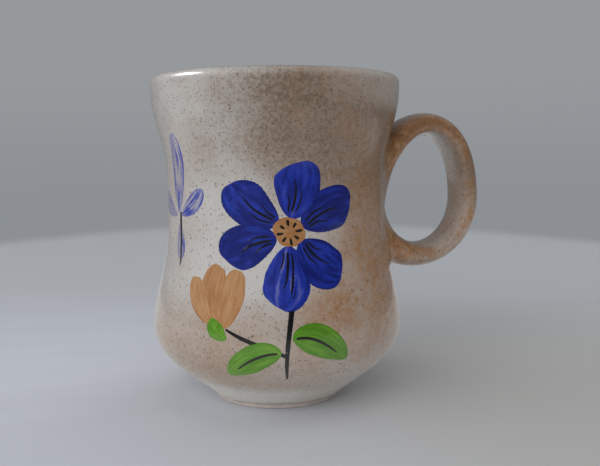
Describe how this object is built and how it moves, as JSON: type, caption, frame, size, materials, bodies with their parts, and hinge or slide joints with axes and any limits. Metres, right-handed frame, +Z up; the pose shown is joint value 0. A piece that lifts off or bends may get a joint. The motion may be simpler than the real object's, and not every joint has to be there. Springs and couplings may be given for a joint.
{
  "type": "mug",
  "caption": "Waisted stoneware mug with a round belly, flared rounded rim, low foot ring and a broad strap handle, glazed in speckled cream.",
  "frame": {"origin": "centre of the foot ring, on the plane that the mug stands on", "axes": "+Z up along the axis of the cup, +X from that axis towards the handle, +Y across the handle"},
  "size_m": [0.1078, 0.0784, 0.1003],
  "materials": {
    "clay": "fired stoneware, pale, dry and slightly rough",
    "slip": "fired slip, rust brown",
    "liner_glaze": "glossy pale cream",
    "speckled_glaze": "satin gloss cream with rust speckles"
  },
  "bodies": {
    "root": {"cup_body": "clay", "handle": "clay", "upper_slip_joint": "slip", "lower_slip_joint": "slip", "liner_glaze": "liner_glaze", "outer_glaze": "speckled_glaze", "handle_glaze": "speckled_glaze"}
  },
  "joints": []
}
